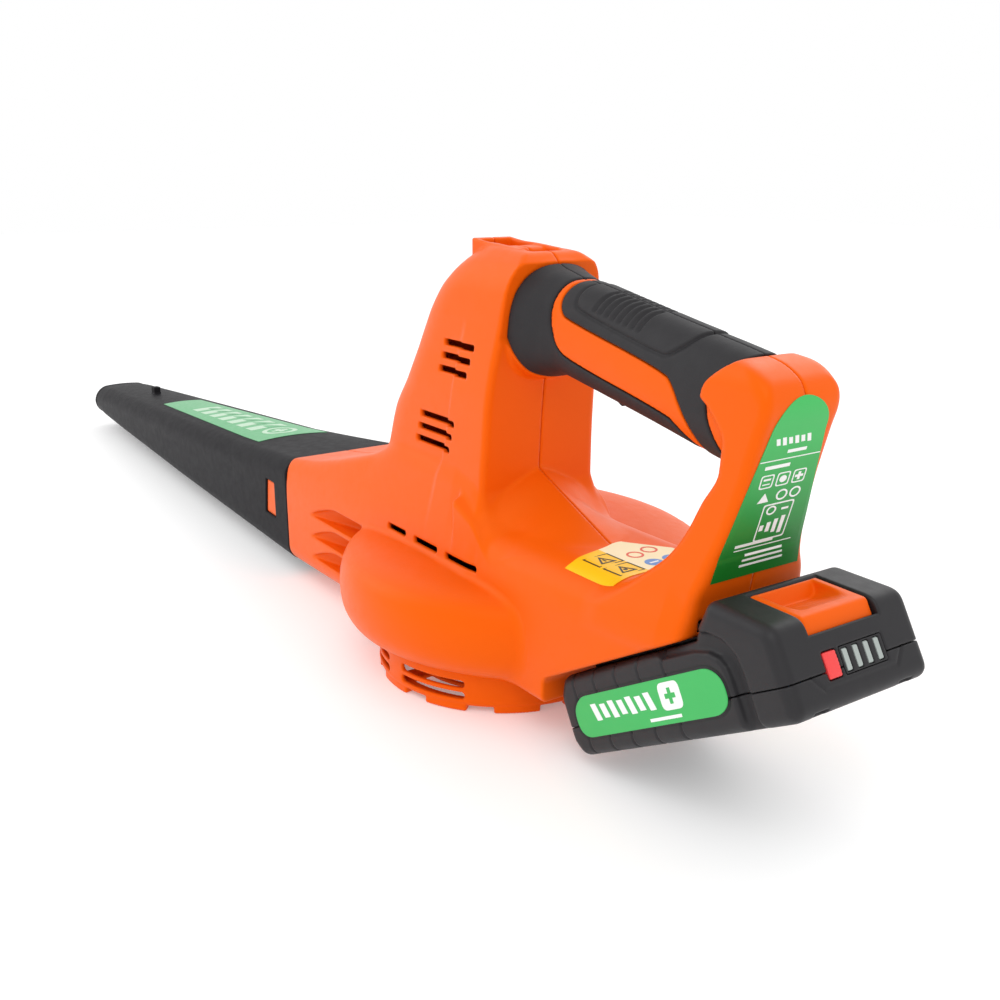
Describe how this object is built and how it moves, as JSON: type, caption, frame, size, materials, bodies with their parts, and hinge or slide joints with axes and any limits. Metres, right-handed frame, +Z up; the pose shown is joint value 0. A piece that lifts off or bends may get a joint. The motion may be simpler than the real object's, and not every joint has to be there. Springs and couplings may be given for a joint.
{
  "type": "cordless leaf blower",
  "caption": "Hand-held cordless leaf blower with a D-handle, vertical motor and fan, pull-off tapered nozzle and slide-in battery.",
  "frame": {"origin": "centre of the intake cover's hub on the plane the tool stands on, on the fan's axis", "axes": "+X towards the nozzle's outlet, +Y to the user's left, +Z up along the motor's axis"},
  "size_m": [0.9415, 0.1849, 0.222],
  "materials": {
    "orange_plastic": "moulded, fine satin grain",
    "black_plastic": "moulded, fine satin grain",
    "black_rubber": "soft overmoulded grip",
    "green_label": "printed film label",
    "yellow_label": "printed film label",
    "red_plastic": "moulded",
    "light_pipe": "translucent light bars",
    "steel": "zinc plated",
    "lamination_steel": "stacked laminations",
    "bronze": "sintered bronze",
    "copper": "spring copper alloy",
    "ferrite": "sintered",
    "carbon": "pressed carbon",
    "circuit_board": "solder mask",
    "red_wire": "insulated lead",
    "black_wire": "insulated lead",
    "cell_wrap": "shrink-wrapped cell"
  },
  "bodies": {
    "housing": {"left_housing": "orange_plastic", "right_housing": "orange_plastic", "left_collar_grip": "black_rubber", "right_collar_grip": "black_rubber", "left_palm_grip": "black_rubber", "right_palm_grip": "black_rubber", "intake_cover": "orange_plastic", "cover_screw_1": "steel", "cover_screw_2": "steel", "cover_screw_3": "steel", "housing_screw_1": "steel", "housing_screw_2": "steel", "housing_screw_3": "steel", "housing_screw_4": "steel", "housing_screw_5": "steel", "housing_screw_6": "steel", "motor_can": "steel", "left_magnet": "ferrite", "right_magnet": "ferrite", "lower_bearing": "bronze", "upper_bearing": "bronze", "motor_end_cap": "black_plastic", "front_brush": "carbon", "rear_brush": "carbon", "motor_mount_plate": "steel", "motor_screw_1": "steel", "motor_screw_2": "steel", "switch_body": "black_plastic", "trigger_spring": "steel", "control_board": "circuit_board", "terminal_block": "black_plastic", "battery_lead_red": "red_wire", "battery_lead_black": "black_wire", "motor_lead_red": "red_wire", "motor_lead_black": "black_wire", "leg_label": "green_label", "warning_label": "yellow_label"},
    "nozzle": {"nozzle": "black_plastic", "nozzle_label": "green_label"},
    "rotor": {"impeller": "black_plastic", "motor_shaft": "steel", "armature": "lamination_steel"},
    "trigger": {"trigger": "black_plastic"},
    "left_tab": {"left_snap_tab": "orange_plastic"},
    "right_tab": {"right_snap_tab": "orange_plastic"},
    "battery": {"battery_lower_case": "black_plastic", "battery_upper_case": "black_plastic", "cell_1": "cell_wrap", "cell_2": "cell_wrap", "cell_3": "cell_wrap", "cell_4": "cell_wrap", "cell_5": "cell_wrap", "battery_board": "circuit_board", "battery_contacts": "copper", "gauge_window": "light_pipe", "left_battery_label": "green_label", "right_battery_label": "green_label", "latch_spring": "steel"},
    "latch": {"battery_latch": "orange_plastic"},
    "gauge_button": {"gauge_button": "red_plastic"}
  },
  "joints": [
    {"name": "nozzle_slide", "type": "slide", "parent": "housing", "child": "nozzle", "axis": [1, 0, 0], "range_m": [0, 0.045]},
    {"name": "fan_spin", "type": "hinge", "parent": "housing", "child": "rotor", "pos_m": [0, 0, 0.056], "axis": [0, 0, 1], "continuous": true},
    {"name": "trigger_squeeze", "type": "hinge", "parent": "housing", "child": "trigger", "pos_m": [-0.06873, 0, 0.16976], "axis": [0, 1, 0], "range_deg": [0, 6], "stiffness_Nm_per_rad": 0.3, "springref_deg": -8.59, "deforming": ["trigger_spring"]},
    {"name": "left_tab_press", "type": "hinge", "parent": "housing", "child": "left_tab", "pos_m": [0.196, 0.041, 0.0455], "axis": [0, 0, -1], "range_deg": [0, 6], "stiffness_Nm_per_rad": 0.3, "springref_deg": -2.86},
    {"name": "right_tab_press", "type": "hinge", "parent": "housing", "child": "right_tab", "pos_m": [0.196, -0.041, 0.0455], "axis": [0, 0, 1], "range_deg": [0, 6], "stiffness_Nm_per_rad": 0.3, "springref_deg": -2.86},
    {"name": "battery_slide", "type": "slide", "parent": "housing", "child": "battery", "axis": [-0.866, 0, 0.5], "range_m": [0, 0.08]},
    {"name": "latch_press", "type": "slide", "parent": "battery", "child": "latch", "axis": [-0.5, 0, -0.866], "range_m": [0, 0.004], "stiffness_N_per_m": 700, "springref_m": -0.003, "deforming": ["latch_spring"]},
    {"name": "gauge_press", "type": "slide", "parent": "battery", "child": "gauge_button", "axis": [0.866, 0, -0.5], "range_m": [0, 0.0012], "stiffness_N_per_m": 500, "springref_m": -0.001}
  ]
}
